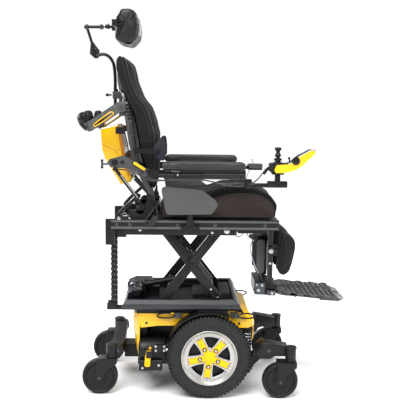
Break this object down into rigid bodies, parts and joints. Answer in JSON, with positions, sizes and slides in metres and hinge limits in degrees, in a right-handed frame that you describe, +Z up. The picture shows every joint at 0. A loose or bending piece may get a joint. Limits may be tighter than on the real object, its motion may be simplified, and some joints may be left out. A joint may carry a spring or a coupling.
{
  "type": "power wheelchair",
  "caption": "Mid-wheel-drive power wheelchair with scissor seat lift, power tilt, reclining back, raising legrest, flip-up armrests, joystick, headrest and swivelling casters.",
  "frame": {"origin": "centre of the bounding box in plan, on the floor under the wheels", "axes": "+X the way the chair drives, +Y the user's left, +Z up"},
  "size_m": [1.1752, 0.622, 1.6469],
  "materials": {
    "bracket_black": "satin black anodised aluminium",
    "frame_black": "semi-gloss black powder coat on steel",
    "battery_case": "plain battery case",
    "shroud_yellow": "glossy yellow moulded plastic with black lower panels",
    "cover_grey": "fine-grained dark grey moulded plastic",
    "motor_black": "black painted motor can and gearbox",
    "tyre_rubber": "matt black solid rubber",
    "rim_silver": "silver painted wheel with yellow inserts",
    "bright_steel": "bright plated steel",
    "scissor_brown": "brown-black painted steel plate",
    "chain_plastic": "matt black nylon",
    "rail_grey": "dark grey cast and extruded aluminium",
    "cushion_fabric": "charcoal stretch fabric over foam",
    "shell_gloss": "gloss black moulded shell",
    "cover_yellow": "yellow cover, gently creased",
    "vinyl_black": "soft black grained vinyl",
    "console_black": "satin black moulded plastic with yellow side inlay",
    "cable_grey": "grey cable jacket",
    "footplate_grey": "ribbed dark grey moulded footplate"
  },
  "bodies": {
    "chassis": {"chassis_frame": "frame_black", "battery_pack": "battery_case", "base_shroud": "shroud_yellow", "lift_cover": "cover_grey", "drive_motor_right": "motor_black", "drive_motor_left": "motor_black", "front_spring_right": "bright_steel", "front_spring_left": "bright_steel"},
    "drive_wheel_right": {"drive_tyre_right": "tyre_rubber", "drive_rim_right": "rim_silver"},
    "freewheel_lever_right": {"freewheel_lever_right": "shroud_yellow"},
    "front_suspension_right": {"front_arm_right": "frame_black"},
    "front_swivel_right": {"front_fork_right": "frame_black"},
    "front_caster_right": {"front_caster_right": "tyre_rubber"},
    "rear_swivel_right": {"rear_fork_right": "frame_black"},
    "rear_caster_right": {"rear_caster_right": "tyre_rubber"},
    "drive_wheel_left": {"drive_tyre_left": "tyre_rubber", "drive_rim_left": "rim_silver"},
    "freewheel_lever_left": {"freewheel_lever_left": "shroud_yellow"},
    "front_suspension_left": {"front_arm_left": "frame_black"},
    "front_swivel_left": {"front_fork_left": "frame_black"},
    "front_caster_left": {"front_caster_left": "tyre_rubber"},
    "rear_swivel_left": {"rear_fork_left": "frame_black"},
    "rear_caster_left": {"rear_caster_left": "tyre_rubber"},
    "rear_beam": {"rear_beam": "frame_black"},
    "lift_arm_inner": {"scissor_arm_inner": "scissor_brown", "lift_actuator": "bright_steel"},
    "lift_arm_outer": {"scissor_arm_outer": "scissor_brown"},
    "platform": {"lift_platform": "frame_black"},
    "chain_lower": {"cable_chain_lower": "chain_plastic"},
    "chain_upper": {"cable_chain_upper": "chain_plastic"},
    "seat": {"seat_frame": "rail_grey", "seat_cushion": "cushion_fabric", "hip_guard_right": "cover_grey", "hip_guard_left": "cover_grey"},
    "back": {"back_frame": "rail_grey", "back_shell": "shell_gloss", "back_cushion": "cushion_fabric", "back_cover": "cover_yellow"},
    "push_handle": {"push_handle": "rail_grey"},
    "headrest_post": {"headrest_post": "bright_steel"},
    "headrest_link": {"headrest_link": "bracket_black"},
    "headrest": {"headrest_pad": "vinyl_black"},
    "lateral_right": {"lateral_support_right": "cushion_fabric"},
    "lateral_left": {"lateral_support_left": "cushion_fabric"},
    "armrest_right": {"armrest_beam_right": "bracket_black", "armrest_pad_right": "vinyl_black", "joystick_cable": "cable_grey"},
    "armrest_left": {"armrest_beam_left": "bracket_black", "armrest_pad_left": "vinyl_black"},
    "joystick": {"joystick_mount": "bracket_black", "joystick_housing": "console_black"},
    "joystick_boot": {"joystick_boot": "console_black"},
    "joystick_stick": {"joystick_stick": "console_black"},
    "toggle_lever": {"toggle_lever": "bright_steel"},
    "legrest": {"legrest_frame": "bracket_black"},
    "leg_extension": {"legrest_carrier": "bracket_black"},
    "calf_pads": {"calf_pads": "cushion_fabric"},
    "footplate_right": {"footplate_right": "footplate_grey"},
    "footplate_left": {"footplate_left": "footplate_grey"}
  },
  "joints": [
    {"name": "drive_wheel_right_spin", "type": "hinge", "parent": "chassis", "child": "drive_wheel_right", "pos_m": [-0.01942, -0.2625, 0.1778], "axis": [0, 1, 0], "continuous": true},
    {"name": "freewheel_right", "type": "hinge", "parent": "chassis", "child": "freewheel_lever_right", "pos_m": [-0.27442, -0.2485, 0.185], "axis": [0, 1, 0], "range_deg": [0, 45]},
    {"name": "front_suspension_right", "type": "hinge", "parent": "chassis", "child": "front_suspension_right", "pos_m": [0.13058, -0.19, 0.105], "axis": [0, 1, 0], "range_deg": [-8, 8], "stiffness_Nm_per_rad": 900, "deforming": ["front_spring_right"]},
    {"name": "front_swivel_right", "type": "hinge", "parent": "front_suspension_right", "child": "front_swivel_right", "pos_m": [0.32858, -0.268, 0.16], "axis": [0, 0, 1], "continuous": true},
    {"name": "front_caster_right_spin", "type": "hinge", "parent": "front_swivel_right", "child": "front_caster_right", "pos_m": [0.28458, -0.268, 0.0762], "axis": [0, 1, 0], "continuous": true},
    {"name": "rear_swivel_right", "type": "hinge", "parent": "rear_beam", "child": "rear_swivel_right", "pos_m": [-0.43742, -0.216, 0.16], "axis": [0, 0, 1], "continuous": true},
    {"name": "rear_caster_right_spin", "type": "hinge", "parent": "rear_swivel_right", "child": "rear_caster_right", "pos_m": [-0.48742, -0.216, 0.0762], "axis": [0, 1, 0], "continuous": true},
    {"name": "drive_wheel_left_spin", "type": "hinge", "parent": "chassis", "child": "drive_wheel_left", "pos_m": [-0.01942, 0.2625, 0.1778], "axis": [0, 1, 0], "continuous": true},
    {"name": "freewheel_left", "type": "hinge", "parent": "chassis", "child": "freewheel_lever_left", "pos_m": [-0.27442, 0.2485, 0.185], "axis": [0, 1, 0], "range_deg": [0, 45]},
    {"name": "front_suspension_left", "type": "hinge", "parent": "chassis", "child": "front_suspension_left", "pos_m": [0.13058, 0.19, 0.105], "axis": [0, 1, 0], "range_deg": [-8, 8], "stiffness_Nm_per_rad": 900, "deforming": ["front_spring_left"]},
    {"name": "front_swivel_left", "type": "hinge", "parent": "front_suspension_left", "child": "front_swivel_left", "pos_m": [0.32858, 0.268, 0.16], "axis": [0, 0, 1], "continuous": true},
    {"name": "front_caster_left_spin", "type": "hinge", "parent": "front_swivel_left", "child": "front_caster_left", "pos_m": [0.28458, 0.268, 0.0762], "axis": [0, 1, 0], "continuous": true},
    {"name": "rear_swivel_left", "type": "hinge", "parent": "rear_beam", "child": "rear_swivel_left", "pos_m": [-0.43742, 0.216, 0.16], "axis": [0, 0, 1], "continuous": true},
    {"name": "rear_caster_left_spin", "type": "hinge", "parent": "rear_swivel_left", "child": "rear_caster_left", "pos_m": [-0.48742, 0.216, 0.0762], "axis": [0, 1, 0], "continuous": true},
    {"name": "rear_beam_rock", "type": "hinge", "parent": "chassis", "child": "rear_beam", "pos_m": [-0.41942, 0, 0.152], "axis": [1, 0, 0], "range_deg": [-8, 8]},
    {"name": "lift", "type": "hinge", "parent": "chassis", "child": "lift_arm_inner", "pos_m": [0.01758, 0, 0.4065], "axis": [0, 1, 0], "range_deg": [-42, 0]},
    {"name": "lift_centre", "type": "hinge", "parent": "lift_arm_inner", "child": "lift_arm_outer", "pos_m": [-0.09942, 0, 0.5562], "axis": [0, 1, 0], "range_deg": [0, 84]},
    {"name": "lift_top", "type": "hinge", "parent": "lift_arm_outer", "child": "platform", "pos_m": [0.01758, 0, 0.7059], "axis": [0, 1, 0], "range_deg": [-42, 0]},
    {"name": "chain_base", "type": "hinge", "parent": "chassis", "child": "chain_lower", "pos_m": [-0.44342, -0.17, 0.373], "axis": [0, -1, 0], "range_deg": [0, 84]},
    {"name": "chain_knee", "type": "hinge", "parent": "chain_lower", "child": "chain_upper", "pos_m": [-0.41542, -0.17, 0.5282], "axis": [0, -1, 0], "range_deg": [-168, 0]},
    {"name": "tilt", "type": "hinge", "parent": "platform", "child": "seat", "pos_m": [-0.24942, 0, 0.72], "axis": [0, -1, 0], "range_deg": [0, 45]},
    {"name": "recline", "type": "hinge", "parent": "seat", "child": "back", "pos_m": [-0.27242, 0, 0.817], "axis": [0, 1, 0], "range_deg": [-70, 0]},
    {"name": "push_handle_angle", "type": "hinge", "parent": "back", "child": "push_handle", "pos_m": [-0.39442, 0, 1.226], "axis": [0, 1, 0], "range_deg": [-30, 20]},
    {"name": "headrest_height", "type": "slide", "parent": "back", "child": "headrest_post", "axis": [0, 0, 1], "range_m": [0, 0.08]},
    {"name": "headrest_reach", "type": "hinge", "parent": "headrest_post", "child": "headrest_link", "pos_m": [-0.52142, 0, 1.448], "axis": [0, 1, 0], "range_deg": [-25, 5]},
    {"name": "headrest_tilt", "type": "hinge", "parent": "headrest_link", "child": "headrest", "pos_m": [-0.48342, 0, 1.573], "axis": [0, 1, 0], "range_deg": [-30, 12]},
    {"name": "lateral_right_swing", "type": "hinge", "parent": "back", "child": "lateral_right", "pos_m": [-0.34142, -0.2211, 1.045], "axis": [0, 0, 1], "range_deg": [-60, 0]},
    {"name": "armrest_right_flip", "type": "hinge", "parent": "back", "child": "armrest_right", "pos_m": [-0.28942, -0.2575, 0.955], "axis": [0, -1, 0], "range_deg": [0, 90]},
    {"name": "footplate_right_fold", "type": "hinge", "parent": "leg_extension", "child": "footplate_right", "pos_m": [0.29058, -0.014, 0.422], "axis": [-0.9931, 0, 0.117], "range_deg": [0, 32]},
    {"name": "lateral_left_swing", "type": "hinge", "parent": "back", "child": "lateral_left", "pos_m": [-0.34142, 0.2211, 1.045], "axis": [0, 0, -1], "range_deg": [-60, 0]},
    {"name": "armrest_left_flip", "type": "hinge", "parent": "back", "child": "armrest_left", "pos_m": [-0.28942, 0.2575, 0.955], "axis": [0, -1, 0], "range_deg": [0, 90]},
    {"name": "footplate_left_fold", "type": "hinge", "parent": "leg_extension", "child": "footplate_left", "pos_m": [0.29058, 0.014, 0.422], "axis": [0.9931, 0, -0.117], "range_deg": [0, 32]},
    {"name": "joystick_swing", "type": "hinge", "parent": "armrest_right", "child": "joystick", "pos_m": [0.13058, -0.27, 0.92], "axis": [0, 0, -1], "range_deg": [0, 90]},
    {"name": "joystick_fore_aft", "type": "hinge", "parent": "joystick", "child": "joystick_boot", "pos_m": [0.25358, -0.27, 1], "axis": [0, 1, 0], "range_deg": [-18, 18], "stiffness_Nm_per_rad": 0.3},
    {"name": "joystick_side", "type": "hinge", "parent": "joystick_boot", "child": "joystick_stick", "pos_m": [0.25358, -0.27, 1], "axis": [1, 0, 0], "range_deg": [-18, 18], "stiffness_Nm_per_rad": 0.3},
    {"name": "toggle", "type": "hinge", "parent": "armrest_left", "child": "toggle_lever", "pos_m": [0.18108, 0.262, 0.937], "axis": [0, 1, 0], "range_deg": [-12, 12], "stiffness_Nm_per_rad": 0.1},
    {"name": "legrest_raise", "type": "hinge", "parent": "seat", "child": "legrest", "pos_m": [0.24758, 0, 0.722], "axis": [0, -1, 0], "range_deg": [0, 70]},
    {"name": "leg_length", "type": "slide", "parent": "legrest", "child": "leg_extension", "axis": [0, 0, -1], "range_m": [0, 0.1]},
    {"name": "calf_pad_tilt", "type": "hinge", "parent": "legrest", "child": "calf_pads", "pos_m": [0.26708, 0, 0.612], "axis": [0, -1, 0], "range_deg": [0, 12]}
  ],
  "couplings": [
    {"joint": "lift_centre", "follows": "lift", "ratio": -2},
    {"joint": "lift_top", "follows": "lift", "ratio": 1},
    {"joint": "chain_base", "follows": "lift", "ratio": -1.9857},
    {"joint": "chain_knee", "follows": "lift", "ratio": 3.9714}
  ]
}
